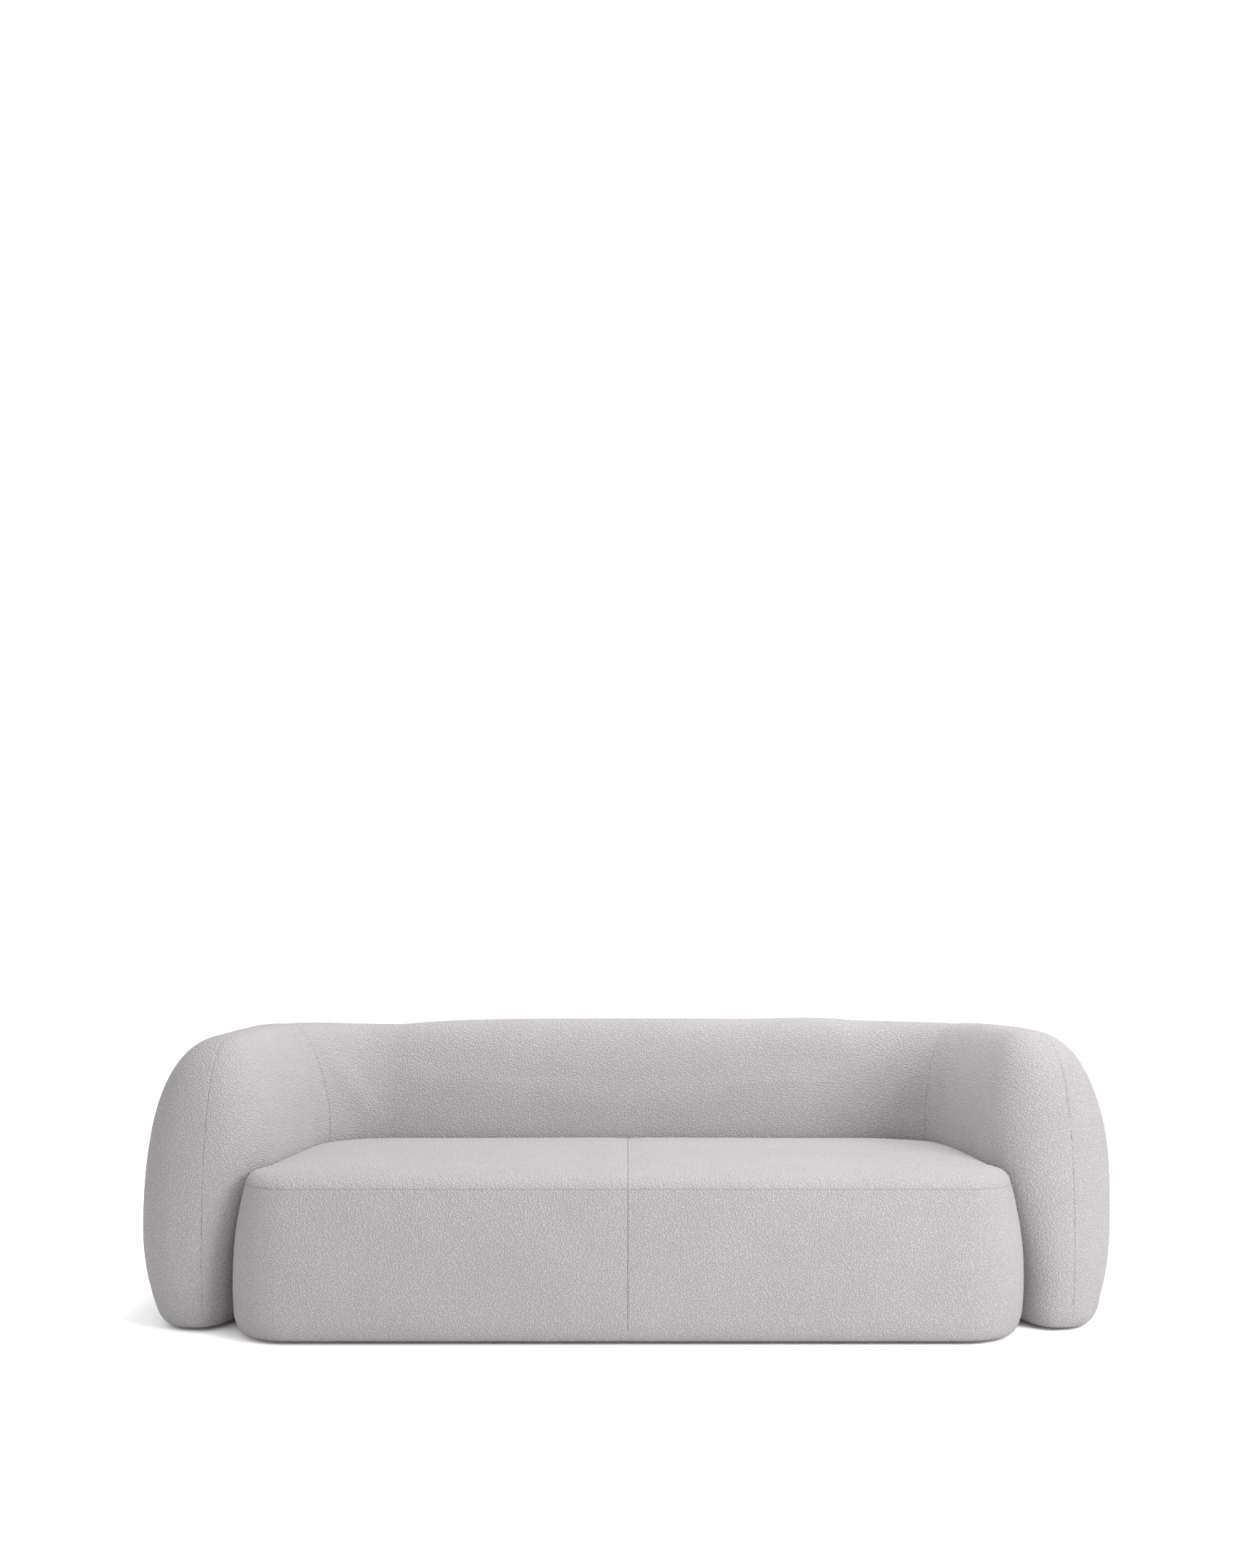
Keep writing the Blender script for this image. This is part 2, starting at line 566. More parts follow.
def round_off(share, power):
    """A quarter of a rounded square: 1 at the start, 0 at the end. A power of 2 makes it an arc."""
    return np.power(np.clip(1 - np.power(np.clip(share, 0, 1), power), 0, 1), 1 / power)


def arm_thickness(behind):
    return lerp(NOSE_THICKNESS, ARM_THICKNESS, behind / ARM_LENGTH)


ARM_INNER_X = WIDTH / 2 - (arm_thickness(NOSE_LENGTH) * COS_TOE - NOSE_LENGTH * SIN_TOE)
CORNER_X = ARM_INNER_X - ARM_LENGTH * SIN_TOE - INNER_RADIUS * COS_TOE
SEAT_FRONT_Y = -DEPTH / 2 + BULGE
FRONT_CORNER_Y = SEAT_FRONT_Y + FRONT_RADIUS
FRONT_CORNER_X = ARM_INNER_X - ((FRONT_CORNER_Y - NOSE_TIP_Y) * SIN_TOE + FRONT_RADIUS) / COS_TOE
SPINE_Y = (SEAT_FRONT_Y + BACK_INNER_Y) / 2
SPINE_HALF = (FRONT_CORNER_X + CORNER_X) / 2


def stations(part, share):
    """Plan stations as columns: x, y, normal x, normal y, wall thickness, crest height."""
    share = np.asarray(share, float)
    one = np.ones_like(share)
    if part == "arm":
        x, y = ARM_INNER_X - share * SIN_TOE, NOSE_TIP_Y + share * COS_TOE
        nx, ny = COS_TOE * one, SIN_TOE * one
        thickness, crest = arm_thickness(share), HEIGHT * one
    elif part == "corner":
        angle = lerp(TOE, math.pi / 2, share)
        nx, ny = np.cos(angle), np.sin(angle)
        x, y = CORNER_X + INNER_RADIUS * nx, CORNER_Y + INNER_RADIUS * ny
        thickness = lerp(ARM_THICKNESS, CORNER_THICKNESS, smooth(share))
        crest = HEIGHT - CREST_DROP * smooth(share)
    else:
        nx, ny = 0 * one, one
        x, y = CORNER_X * share, BACK_INNER_Y * one
        thickness = lerp(BACK_THICKNESS, CORNER_THICKNESS, share**2)
        crest = HEIGHT - lerp(MIDDLE_DROP, CREST_DROP, share**4)
    return np.stack([x, y, nx, ny, thickness, crest], -1)


def along(station, offset, z):
    """Points at an offset along the stations' normals and at a height."""
    x = station[..., 0] + station[..., 2] * offset
    y = station[..., 1] + station[..., 3] * offset
    return np.stack(np.broadcast_arrays(x, y, z), -1)


def foot_draw_in(z, height, inset):
    """How far the cloth is drawn in at the foot, from nothing at a height to the inset at the hem."""
    return inset * (1 - round_off((height - z) / (height - FLOOR_GAP), 2)) * (z < height)


def pressed_wall(z):
    """The wall beside the seat, which presses into it."""
    rise = np.clip((z - BULGE_HEIGHT) / (SHOULDER - BULGE_HEIGHT), 0, 1)
    return lerp(BULGE + SEAT_CLEARANCE, -LEAN, smooth(rise))


def seat_beside(z):
    return pressed_wall(z) - SEAT_CLEARANCE - foot_draw_in(z, *SEAT_FOOT)


def seat_front(z, corner):
    """The seat's front, 5 mm fuller at its corners and 10 mm fuller there at the seam."""
    rise = np.clip((z - BULGE_HEIGHT) / (SEAM_HEIGHT - BULGE_HEIGHT), 0, 1)
    low, high = BULGE + CORNER_FULLER * corner, SEAM_SET_BACK + CORNER_SEAM_FULLER * corner
    return lerp(low, high, np.power(rise, FRONT_POWER)) - foot_draw_in(z, *SEAT_FOOT)


def inner_face(z, crest):
    over = CREST_OFFSET - (CREST_OFFSET + LEAN) * round_off((z - SHOULDER) / (crest - SHOULDER), 2)
    return np.where(z > SHOULDER, over, pressed_wall(z) + foot_draw_in(z, *INNER_FOOT))


def shoulder_round(z, crest):
    return round_off((z - ROUND_START) / (crest - ROUND_START), ROUND_POWER)


def outer_face(z, thickness, crest):
    return lerp(CREST_OFFSET, thickness - foot_draw_in(z, *OUTER_FOOT), shoulder_round(z, crest))


def nose_back(z, crest):
    rounded = round_off((z - NOSE_ROUND_START) / (crest - NOSE_ROUND_START), ROUND_POWER)
    return NOSE_FALL * (1 - rounded) + foot_draw_in(z, *NOSE_FOOT)


def closed_mesh(name, rings):
    """Rings of points, bottom to top, as a closed surface. The first and last lie folded on a line."""
    count = len(rings[0])
    points = np.concatenate(rings) * MM
    here = np.arange(count * (len(rings) - 1))
    after = here // count * count + (here + 1) % count
    faces = np.stack([here, after, after + count, here + count], -1)
    mesh = bpy.data.meshes.new(name)
    mesh.from_pydata(points.tolist(), [], faces.tolist())
    with opened(mesh) as shell:
        bmesh.ops.remove_doubles(shell, verts=shell.verts, dist=2e-5)
        bmesh.ops.recalc_face_normals(shell, faces=shell.faces)
    return mesh


def whole_ring(half):
    """The right half of a ring and its mirror image."""
    left = half[::-1][1:-1] * np.array([-1, 1, 1])
    return np.concatenate([half, left])


def surround_ring(rise, folded=False):
    """The wrap-around unit's ring at a rise: 0 to 1 up to the shoulder, 1 to 2 from there to the crest."""

    def height(crest):
        low = FLOOR_GAP + (SHOULDER - FLOOR_GAP) * (1 - math.cos(min(rise, 1) * math.pi / 2))
        return low if rise <= 1 else lerp(SHOULDER, crest, math.sin((rise - 1) * math.pi / 2))

    z = height(HEIGHT)
    length = NOSE_LENGTH * shoulder_round(z, HEIGHT)
    ends_at = nose_back(z, HEIGHT) + length
    back = stations("back", np.linspace(0, 1, BACK_COUNT, endpoint=False))
    corner = stations("corner", 1 - np.linspace(0, 1, CORNER_COUNT, endpoint=False))
    spine = np.concatenate([back, corner, stations("arm", np.linspace(ARM_LENGTH, ends_at, ARM_COUNT))])
    heights = np.array([height(crest) for crest in spine[:, 5]])
    inner = inner_face(heights, spine[:, 5])
    outer = outer_face(heights, spine[:, 4], spine[:, 5])
    if folded:
        inner = outer = (inner + outer) / 2
    angle = np.linspace(0, math.pi, NOSE_COUNT + 2)[1:-1]
    end = stations("arm", ends_at)
    tip = lerp(CREST_OFFSET, NOSE_TOP_OFFSET, shoulder_round(z, HEIGHT))
    beside = np.where(angle < math.pi / 2, inner[-1], outer[-1])
    aside = np.power(np.abs(np.cos(angle)), 2 / NOSE_POWER)
    nose = along(end, lerp(tip, beside, aside) if not folded else inner[-1] + 0 * angle, z)
    if not folded:
        forward = length * np.power(np.sin(angle), 2 / NOSE_POWER)
        nose = nose + np.stack([forward * SIN_TOE, -forward * COS_TOE, 0 * forward], -1)
    inside, outside = along(spine, inner, heights), along(spine, outer, heights)
    return whole_ring(np.concatenate([inside, nose, outside[::-1]]))


def seat_plan():
    """Stations of the seat block from the front's middle to the back's. Each has a share of how far its
    side is pressed by the arm and how far the corner has turned, its top rounding and spine share."""
    front_count, turn_count, side_count = 40, 26, 40
    t = np.linspace(0, 1, front_count, endpoint=False)
    front = np.stack([FRONT_CORNER_X * t, SEAT_FRONT_Y + 0 * t, 0 * t, 0 * t - 1], -1)
    angle = lerp(-math.pi / 2, TOE, np.linspace(0, 1, turn_count))
    nx, ny = np.cos(angle), np.sin(angle)
    corner = np.stack([FRONT_CORNER_X + FRONT_RADIUS * nx, FRONT_CORNER_Y + FRONT_RADIUS * ny, nx, ny], -1)
    reach = (FRONT_CORNER_Y - NOSE_TIP_Y) / COS_TOE
    behind = np.linspace(reach, ARM_LENGTH, side_count)[1:]
    arm = stations("arm", behind)[:, :4]
    rear = stations("corner", np.linspace(0, 1, CORNER_COUNT)[1:])[:, :4]
    back_shares = np.linspace(1, 0, BACK_COUNT)[1:]
    back = stations("back", back_shares)[:, :4]
    plan = np.concatenate([front, corner, arm, rear, back])
    turn_at, side_at = len(front), len(front) + len(corner)
    pressed = np.ones(len(plan))
    pressed[:side_at] = 0
    pressed[side_at : side_at + len(arm)] = smooth((behind - reach) / PRESSED_WITHIN)
    turned = np.ones(len(plan))
    turned[:turn_at] = 0
    turned[turn_at:side_at] = smooth(np.linspace(0, 1, len(corner)))
    top_round = lerp(lerp(FRONT_ROUND, CORNER_ROUND, turned), SIDE_ROUND, pressed)
    spine = np.ones(len(plan))
    spine[:turn_at] = t
    spine[-len(back) :] = back_shares
    return plan, pressed, turned, top_round, spine


def edge_height(y):
    """The top's edge falls from front to rear."""
    back = np.clip((y - SEAT_FRONT_Y) / (BACK_INNER_Y - SEAT_FRONT_Y), 0, 1)
    return SEAT_HEIGHT + lerp(EDGE_RISE, -EDGE_FALL, back)


def seat_mesh():
    plan, pressed, turned, top_round, spine = seat_plan()
    edge_start = math.radians(11)
    foot_rings, side_rings, edge_rings, top_rings = 14, 30, 20, 26

    def side(z):
        return lerp(seat_front(z, turned), seat_beside(z), pressed)

    edge = along(plan, side(SEAM_HEIGHT) - top_round, 0)
    rise = edge_height(edge[:, 1]) - SEAM_HEIGHT

    def inward(pull, z=None):
        x, y = lerp(edge[:, 0], SPINE_HALF * spine, pull), lerp(edge[:, 1], SPINE_Y, pull)
        height = edge_height(y) + CROWN * (1 - (1 - pull) ** 2) if z is None else z + 0 * x
        return whole_ring(np.stack([x, y, height], -1))

    turns = np.linspace(0, math.pi / 2, foot_rings)
    heights = [FLOOR_GAP + (BULGE_HEIGHT - FLOOR_GAP) * (1 - math.cos(turn)) for turn in turns]
    heights += list(np.linspace(BULGE_HEIGHT, SEAM_HEIGHT, side_rings)[1:])
    rings = [inward(1, FLOOR_GAP), inward(0.5, FLOOR_GAP)]
    rings += [whole_ring(along(plan, side(z), z)) for z in heights]
    for turn in np.linspace(edge_start, math.pi / 2, edge_rings)[1:]:
        up = (math.sin(turn) - math.sin(edge_start)) / (1 - math.sin(edge_start))
        back = 1 - math.cos(turn) / math.cos(edge_start)
        rings.append(whole_ring(along(plan, side(SEAM_HEIGHT) - top_round * back, SEAM_HEIGHT + rise * up)))
    rings += [inward(pull) for pull in np.linspace(0, 1, top_rings)[1:]]
    return closed_mesh("seat_form", rings)


def surround_mesh():
    ring_count = 60
    rises = np.concatenate([np.linspace(0, 1, ring_count), np.linspace(1, 2, ring_count)[1:]])
    return closed_mesh("surround_form", [surround_ring(0, True)] + [surround_ring(rise) for rise in rises])


# Sewing and filling the covers

# Each unit's cover is cut in panels and pulled tight over the foam. The foam swells each panel between
# its seams: a cloth simulation, held at the seams and at the foot, gives that swell. Seams come after.
EVEN_SIZE = 0.012
SWELL = 0.0045
FOOT_EASE = 0.0012
HEM = 38


def even_copy(name, mesh):
    """The form as an even quad mesh, laid back on the form's own surface, and that surface."""
    form = placed_object(name, mesh)
    remesh = form.modifiers.new("even", "REMESH")
    remesh.mode = "VOXEL"
    remesh.voxel_size = EVEN_SIZE
    surface = BVHTree.FromPolygons([v.co for v in mesh.vertices], [p.vertices for p in mesh.polygons])
    for vertex in baked(form).vertices:
        vertex.co = surface.find_nearest(vertex.co)[0]
    return form, surface


def rows_of(items, field):
    """A vector of each vertex or face, as rows."""
    values = np.empty(len(items) * 3)
    items.foreach_get(field, values)
    return values.reshape(-1, 3)


def shape_of(mesh):
    """Each vertex's place and normal."""
    return rows_of(mesh.vertices, "co"), rows_of(mesh.vertex_normals, "vector")


def move_to(mesh, points):
    mesh.vertices.foreach_set("co", points.ravel())
    mesh.update()


def nearest_seam(points, normals, seams):
    return np.min([np.abs(seam(points, normals)) for seam in seams], axis=0)


def relax(values, mesh, rounds):
    """Each vertex's value drawn half way to the mean of its neighbours, a number of times."""
    edges = np.empty(len(mesh.edges) * 2, int)
    mesh.edges.foreach_get("vertices", edges)
    a, b = edges.reshape(-1, 2).T
    size = len(values)
    count = np.bincount(a, minlength=size) + np.bincount(b, minlength=size)
    for _ in range(rounds):
        total = np.bincount(a, values[b], size) + np.bincount(b, values[a], size)
        values = 0.5 * values + 0.5 * total / count
    return values


def on_surface(distance, facing):
    """A level distance as one along the surface, which faces along that distance by a share."""
    flattest = 0.04
    return distance / np.sqrt(np.clip(1 - facing**2, flattest, 1))


def crest_distance(points, normals):
    """Signed distance on the surface from the crest seam, in millimetres: below 0 on the seat's side."""
    right_nose_offset, left_nose_offset, nose_bend_length = 177, 125, 480
    x, y = np.abs(points[:, 0]) / MM, points[:, 1] / MM
    behind = (y - NOSE_TIP_Y) * COS_TOE - (x - ARM_INNER_X) * SIN_TOE
    beside = (x - ARM_INNER_X) * COS_TOE + (y - NOSE_TIP_Y) * SIN_TOE
    nose = np.where(points[:, 0] > 0, right_nose_offset, left_nose_offset)
    arm = beside - lerp(nose, CREST_OFFSET, smooth(behind / nose_bend_length))
    from_corner = np.hypot(x - CORNER_X, y - CORNER_Y)
    corner = from_corner - INNER_RADIUS - CREST_OFFSET
    back = y - BACK_INNER_Y - CREST_OFFSET
    in_arm = behind < ARM_LENGTH
    in_back = x < CORNER_X
    plan = np.where(in_back, back, np.where(in_arm, arm, corner))
    nx = np.where(in_back, 0, np.where(in_arm, COS_TOE, (x - CORNER_X) / np.maximum(from_corner, 1)))
    ny = np.where(in_back, 1, np.where(in_arm, SIN_TOE, (y - CORNER_Y) / np.maximum(from_corner, 1)))
    return on_surface(plan, nx * np.sign(points[:, 0]) * normals[:, 0] + ny * normals[:, 1])


def corner_distance(points, normals):
    """Signed distance from the upright corner seams, in millimetres: above 0 on the back's side. The
    left one bends towards its arm on its way up."""
    seam = math.radians(36)
    bend, bend_start, bend_length, bend_power = 45, 450, 270, 1.5
    x, y, z = np.abs(points[:, 0]) / MM, points[:, 1] / MM, points[:, 2] / MM
    plan = (y - CORNER_Y) * math.cos(seam) - (x - CORNER_X) * math.sin(seam)
    up = np.clip((z - bend_start) / bend_length, 0, 1)
    plan = plan + bend * up**bend_power * (points[:, 0] < 0)
    facing = -math.sin(seam) * np.sign(points[:, 0]) * normals[:, 0] + math.cos(seam) * normals[:, 1]
    return on_surface(plan, facing)


def rim_distance(points, normals):
    """Signed distance from the seam round the seat's top, in millimetres: above 0 on the top panels."""
    return on_surface(points[:, 2] / MM - SEAM_HEIGHT, normals[:, 2])


def middle_distance(points, normals):
    """Signed distance from the seat's middle seam, in millimetres: above 0 on the right."""
    return on_surface(points[:, 0] / MM, normals[:, 0])


def swell(form, seams):
    """How far cloth under pressure, held at its seams and foot, swells out at each point, in metres."""
    held_beside_seam, held_foot, frames = 8, 0.035, 20
    start, normals = shape_of(form.data)
    held = (nearest_seam(start, normals, seams) < held_beside_seam) | (start[:, 2] < held_foot)
    form.vertex_groups.new(name="held").add(np.flatnonzero(held).tolist(), 1.0, "REPLACE")
    filling = form.modifiers.new("filling", "CLOTH")
    settings = filling.settings
    settings.quality = 4
    settings.mass = 0.4
    settings.tension_stiffness = settings.compression_stiffness = 25
    settings.shear_stiffness = 12
    settings.bending_stiffness = 8
    settings.use_pressure = True
    settings.uniform_pressure_force = 4
    settings.effector_weights.gravity = 0
    settings.vertex_group_mass = "held"
    filling.point_cache.frame_start, filling.point_cache.frame_end = 1, frames
    for number in range(1, frames + 1):
        bpy.context.scene.frame_set(number)
    moved = form.evaluated_get(bpy.context.evaluated_depsgraph_get())
    end = rows_of(moved.to_mesh().vertices, "co")
    form.modifiers.clear()
    bpy.context.scene.frame_set(1)
    return ((end - start) * normals).sum(axis=1)


def plump(form, seams):
    """The form let out between its seams by the simulation, or by a rule of its size in a quick try."""
    full_swell_from, settled_share, rounds = 130, 0.6, 12
    foot_start, foot_blend = 0.03, 0.07
    start, normals = shape_of(form.data)
    out = np.clip(swell(form, seams), 0, SWELL)
    out = relax(out, form.data, rounds) - settled_share * SWELL
    out = lerp(FOOT_EASE, out, smooth((start[:, 2] - foot_start) / foot_blend))
    move_to(form.data, start + out[:, None] * normals)


def let_out(mesh, *spots):
    """Spots where the filling is fuller: a centre and a reach in metres, and a height in millimetres."""
    points, normals = shape_of(mesh)
    for centre, reach, height in spots:
        near = np.linalg.norm((points - np.array(centre)) / np.array(reach), axis=1)
        points = points + normals * (height * MM * smooth(1 - near))[:, None]
    move_to(mesh, points)


def refine(form, surface, seams):
    """One even subdivision, which is laid back on the surface round the tight foot, then two more of the
    faces beside the seams."""
    foot_top, foot_blend = 0.07, 0.03
    seam_bands = (16, 6.5)
    level = form.modifiers.new("fine", "SUBSURF")
    level.levels = level.render_levels = 1
    mesh = baked(form)
    for vertex in mesh.vertices:
        if vertex.co.z < foot_top:
            root, outward = surface.find_nearest(vertex.co)[:2]
            share = float(smooth((foot_top - vertex.co.z) / foot_blend))
            vertex.co = vertex.co.lerp(root + outward * FOOT_EASE, share)
    for band in seam_bands:
        near = nearest_seam(*shape_of(mesh), seams) < band
        with opened(mesh) as shell:
            edges = [e for e in shell.edges if near[e.verts[0].index] and near[e.verts[1].index]]
            bmesh.ops.subdivide_edges(shell, edges=edges, cuts=1, use_grid_fill=True)
    return mesh


def sew(mesh, seams, depths, puckers, tucks):
    """Seams sunk into the cover: each edge rolls in to its depth, gathers in small puckers beside the
    thread, and lies in a wide shallow tuck. All in millimetres."""
    roll, gather, tuck_width = 3.4, 14.0, 30.0
    puckers_per_metre, ripples_per_metre, ripple = 58, 70, 0.35
    foot_top, foot_start, foot_blend, foot_least, foot_most = 60, 30, 30, 0.4, 9
    points, normals = shape_of(mesh)
    sink = np.zeros(len(points))
    for seam, depth, pucker, tuck in zip(seams, depths, puckers, tucks):
        distance = np.abs(seam(points, normals))
        close = distance < roll
        arc = roll - np.sqrt(np.clip(roll**2 - (roll - distance) ** 2, 0, None))
        sink[close] = np.maximum(sink[close], arc[close] * depth / roll)
        for index in np.flatnonzero(distance < 3 * gather):
            wave = noise.noise(Vector(points[index]) * puckers_per_metre)
            sink[index] += pucker * (0.5 + wave) * math.exp(-distance[index] / gather)
        sink += tuck * np.exp(-((distance / tuck_width) ** 2))
    z = points[:, 2] / MM
    most = lerp(foot_least, foot_most, smooth((z - foot_start) / foot_blend))
    sink = np.where(z < foot_top, np.minimum(sink, most), sink)
    sink += [ripple * noise.noise(Vector(point) * ripples_per_metre) for point in points]
    move_to(mesh, points - normals * sink[:, None] * MM)


def nearest_on(outline, places):
    """For each place in plan, the nearest point of a closed outline, in millimetres."""
    steps = 8
    after = np.roll(outline, -1, axis=0)
    dense = np.concatenate([lerp(outline, after, step / steps) for step in range(steps)])[:, :2]
    return np.array([dense[np.argmin(((dense - place) ** 2).sum(axis=1))] for place in places])


def trim_hem(mesh, centres, facing, outline):
    """Which faces are kept: all but the underside's further in than the hem. Its edge is drawn true."""
    underside_top, underside_facing = FLOOR_GAP + 2, -0.5
    kept = np.ones(len(centres), bool)
    under = np.flatnonzero((centres[:, 2] / MM < underside_top) & (facing[:, 2] < underside_facing))
    places = centres[under, :2] / MM
    kept[under] = np.linalg.norm(places - nearest_on(outline, places), axis=1) < HEM
    hem = {v for face in under if kept[face] for v in mesh.polygons[face].vertices}
    trimmed = {v for face in under if not kept[face] for v in mesh.polygons[face].vertices}
    for index in hem & trimmed:
        place = np.array(mesh.vertices[index].co[:2]) / MM
        root = nearest_on(outline, [place])[0]
        way = (place - root) / np.linalg.norm(place - root)
        mesh.vertices[index].co[:2] = (root + way * HEM) * MM
    return kept


def cut_panels(form, panel_of, outline, nodes):
    """The sewn cover cut along its seams into its panels, each a piece in its CAD node's place."""
    mesh = form.data
    centres, facing = rows_of(mesh.polygons, "center"), rows_of(mesh.polygons, "normal")
    panel = panel_of(centres, facing)
    panel[~trim_hem(mesh, centres, facing, outline)] = -1
    for number, node in enumerate(nodes):
        piece = placed_object(node.replace("cover", "panel"), mesh.copy())
        piece.data.name = node
        with opened(piece.data) as shell:
            others = [face for face in shell.faces if panel[face.index] != number]
            bmesh.ops.delete(shell, geom=others, context="FACES")
        coat(piece.data, cloth)
        piece.data.shade_smooth()
        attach(piece, "root")
        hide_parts(node)
    bpy.data.objects.remove(form)


# Covers of the back and arms

# Six panels: an inner and an outer one for the back and for each arm. The seam between inner and outer
# runs along the crest and down each nose, and upright seams in the rear corners join back to arm.
def surround_panel(centres, facing):
    """The number of each face's panel, in the order of surround_nodes."""
    crest = crest_distance(centres, facing) > 0
    back = corner_distance(centres, facing) > 0
    right = centres[:, 0] > 0
    return np.where(back, 4 + crest, 2 * crest + right).astype(int)


surround_seams = (crest_distance, corner_distance)
surround, surround_surface = even_copy("surround_cover", surround_mesh())
plump(surround, surround_seams)
back_right = ((0.62, 0.34, 0.70), (0.32, 0.2, 0.2), 12)
arm_top_right = ((1.06, -0.2, 0.69), (0.2, 0.4, 0.2), 12)
arm_foot_left = ((-1.22, -0.2, 0.2), (0.3, 0.5, 0.3), 7)
arm_side_right = ((1.2, -0.2, 0.5), (0.2, 0.4, 0.25), 5)
let_out(surround.data, back_right, arm_top_right, arm_foot_left, arm_side_right)
surround_fine = refine(surround, surround_surface, surround_seams)
let_out(surround_fine, *[((side * 1.152, -0.355, 0.022), (0.1, 0.13, 0.06), 5) for _, side in SIDES])
sew(surround_fine, surround_seams, depths=(3.2, 3.2), puckers=(0.5, 0.6), tucks=(0, 2))
surround_nodes = [f"arm_cover_{face}_{side}" for face in ("inner", "outer") for side, _ in SIDES]
surround_nodes += ["back_cover_inner", "back_cover_outer"]
surround_outline = surround_ring(0)
cut_panels(surround, surround_panel, surround_outline, surround_nodes)


# Covers of the seat block

# Two top panels and two boxing panels. One seam runs round the top edge and one over the middle, from
# the back down the front, which is drawn a little tight, so the cloth puckers along it.
def seat_panel(centres, facing):
    """The number of each face's panel, in the order of seat_nodes."""
    top = rim_distance(centres, facing) > 0
    right = centres[:, 0] > 0
    return np.where(top, right, 2 + right).astype(int)


seat_seams = (rim_distance, middle_distance)
seat, seat_surface = even_copy("seat_cover", seat_mesh())
plump(seat, seat_seams)
top_right = ((0.9, -0.1, 0.4), (0.2, 0.55, 0.15), 9)
front_corner_right = ((0.93, -0.46, 0.2), (0.14, 0.2, 0.25), 5)
let_out(seat.data, top_right, front_corner_right)
seat_fine = refine(seat, seat_surface, seat_seams)
sew(seat_fine, seat_seams, depths=(2.8, 2.6), puckers=(0.7, 1.3), tucks=(0, 0))
seat_nodes = [f"seat_cover_{face}_{side}" for face in ("top", "boxing") for side, _ in SIDES]
seat_stations, pressed, turned = seat_plan()[:3]
seat_foot = lerp(seat_front(FLOOR_GAP, turned), seat_beside(FLOOR_GAP), pressed)
seat_outline = whole_ring(along(seat_stations, seat_foot, FLOOR_GAP))
cut_panels(seat, seat_panel, seat_outline, seat_nodes)


# Dust covers

# Black spunbond polypropylene cloth, cut to the outline of each unit and stapled under it.
# Its bonded fibres show as a fine felted mottle with a faint grid of heat-bonded dots, 3 mm apart.
def spunbond():
    """Spunbond cloth: black felted fibres and a grid of dots."""
    dot, fibre = 0.003, 1 / 350
    material, tree, surface, place = start_material("spunbond_polypropylene", Roughness=0.85)
    grid = add_node(tree, "ShaderNodeTexVoronoi", Vector=place, Scale=1 / dot, Randomness=0.0)
    felt = add_node(tree, "ShaderNodeTexNoise", Vector=place, Scale=1 / fibre, Detail=4)
    both = chain(tree, "ShaderNodeMath", grid, ("ADD", felt))
    colour = add_node(tree, "ShaderNodeValToRGB", {0: both}, ((0.4, "#131315"), (1.0, "#28282B")))
    bump = add_node(tree, "ShaderNodeBump", Height=both, Strength=0.5, Distance=0.0004)
    set_inputs(tree, surface, {"Base Color": colour, "Normal": bump})
    return material


dress(["dust_cover_surround", "dust_cover_seat"], spunbond())


# Staples of the hems and dust covers

# The covers' hems are stapled up into the base boards all round each unit, and the dust cover is
# stapled inside them. No staple sits where a joining plate crosses a hem.
PLATE_X, PLATE_CLEARANCE, PLATE_FRONT_Y, PLATE_REAR_Y = 400, 45, 150, 450
HEM_STAPLE_Z, DUST_COVER_STAPLE_Z = 8.4, 11.7


def outline_guide(name, outline, z):
    """A closed outline in millimetres as a path of edges, broken at the plates. Each aim is inward."""
    after, before = np.roll(outline, -1, axis=0), np.roll(outline, 1, axis=0)
    way = (after - before)[:, :2]
    way /= np.linalg.norm(way, axis=1)[:, None]
    turns_left = np.sum(outline[:, 0] * after[:, 1] - after[:, 0] * outline[:, 1]) > 0
    aims = np.stack([-way[:, 1], way[:, 0], 0 * way[:, 0]], -1) * (1 if turns_left else -1)
    across = np.abs(np.abs(outline[:, 0]) - PLATE_X) < PLATE_CLEARANCE
    at_plate = across & (outline[:, 1] > PLATE_FRONT_Y) & (outline[:, 1] < PLATE_REAR_Y)
    steps = [(number, (number + 1) % len(outline)) for number in range(len(outline))]
    clear = [step for step in steps if not at_plate[step[0]] and not at_plate[step[1]]]
    points = [(x * MM, y * MM, z * MM) for x, y, _ in outline.tolist()]
    return guide_mesh(name, points, aims, clear)


for unit, outline in (("surround", surround_outline), ("seat", seat_outline)):
    set_along(f"hem_staples_{unit}", staples, outline_guide("hem", outline, HEM_STAPLE_Z))
    inner_path = outline_guide("dust_cover", outline, DUST_COVER_STAPLE_Z)
    set_along(f"dust_cover_staples_{unit}", staples, inner_path, Inset=0.048, Spacing=0.06)


# Glides

# Round black polypropylene glides, 50 mm across, moulded and screwed up into the base boards.
# A fine spark-eroded texture with greyer scuffs from sliding.
def moulded_plastic():
    """Moulded polypropylene: black with a fine grit and broad grey scuffs."""
    grit, scuff = 1 / 900, 1 / 60
    material, tree, surface, place = start_material("polypropylene_moulded", Roughness=0.45, IOR=1.49)
    grain = add_node(tree, "ShaderNodeTexNoise", Vector=place, Scale=1 / grit, Detail=2)
    scuffs = add_node(tree, "ShaderNodeTexNoise", Vector=place, Scale=1 / scuff, Detail=5)
    colour = add_node(tree, "ShaderNodeValToRGB", {0: scuffs}, ((0.45, "#161617"), (0.75, "#2E2E30")))
    bump = add_node(tree, "ShaderNodeBump", Height=grain, Strength=0.25, Distance=0.0002)
    set_inputs(tree, surface, {"Base Color": colour, "Normal": bump})
    return material


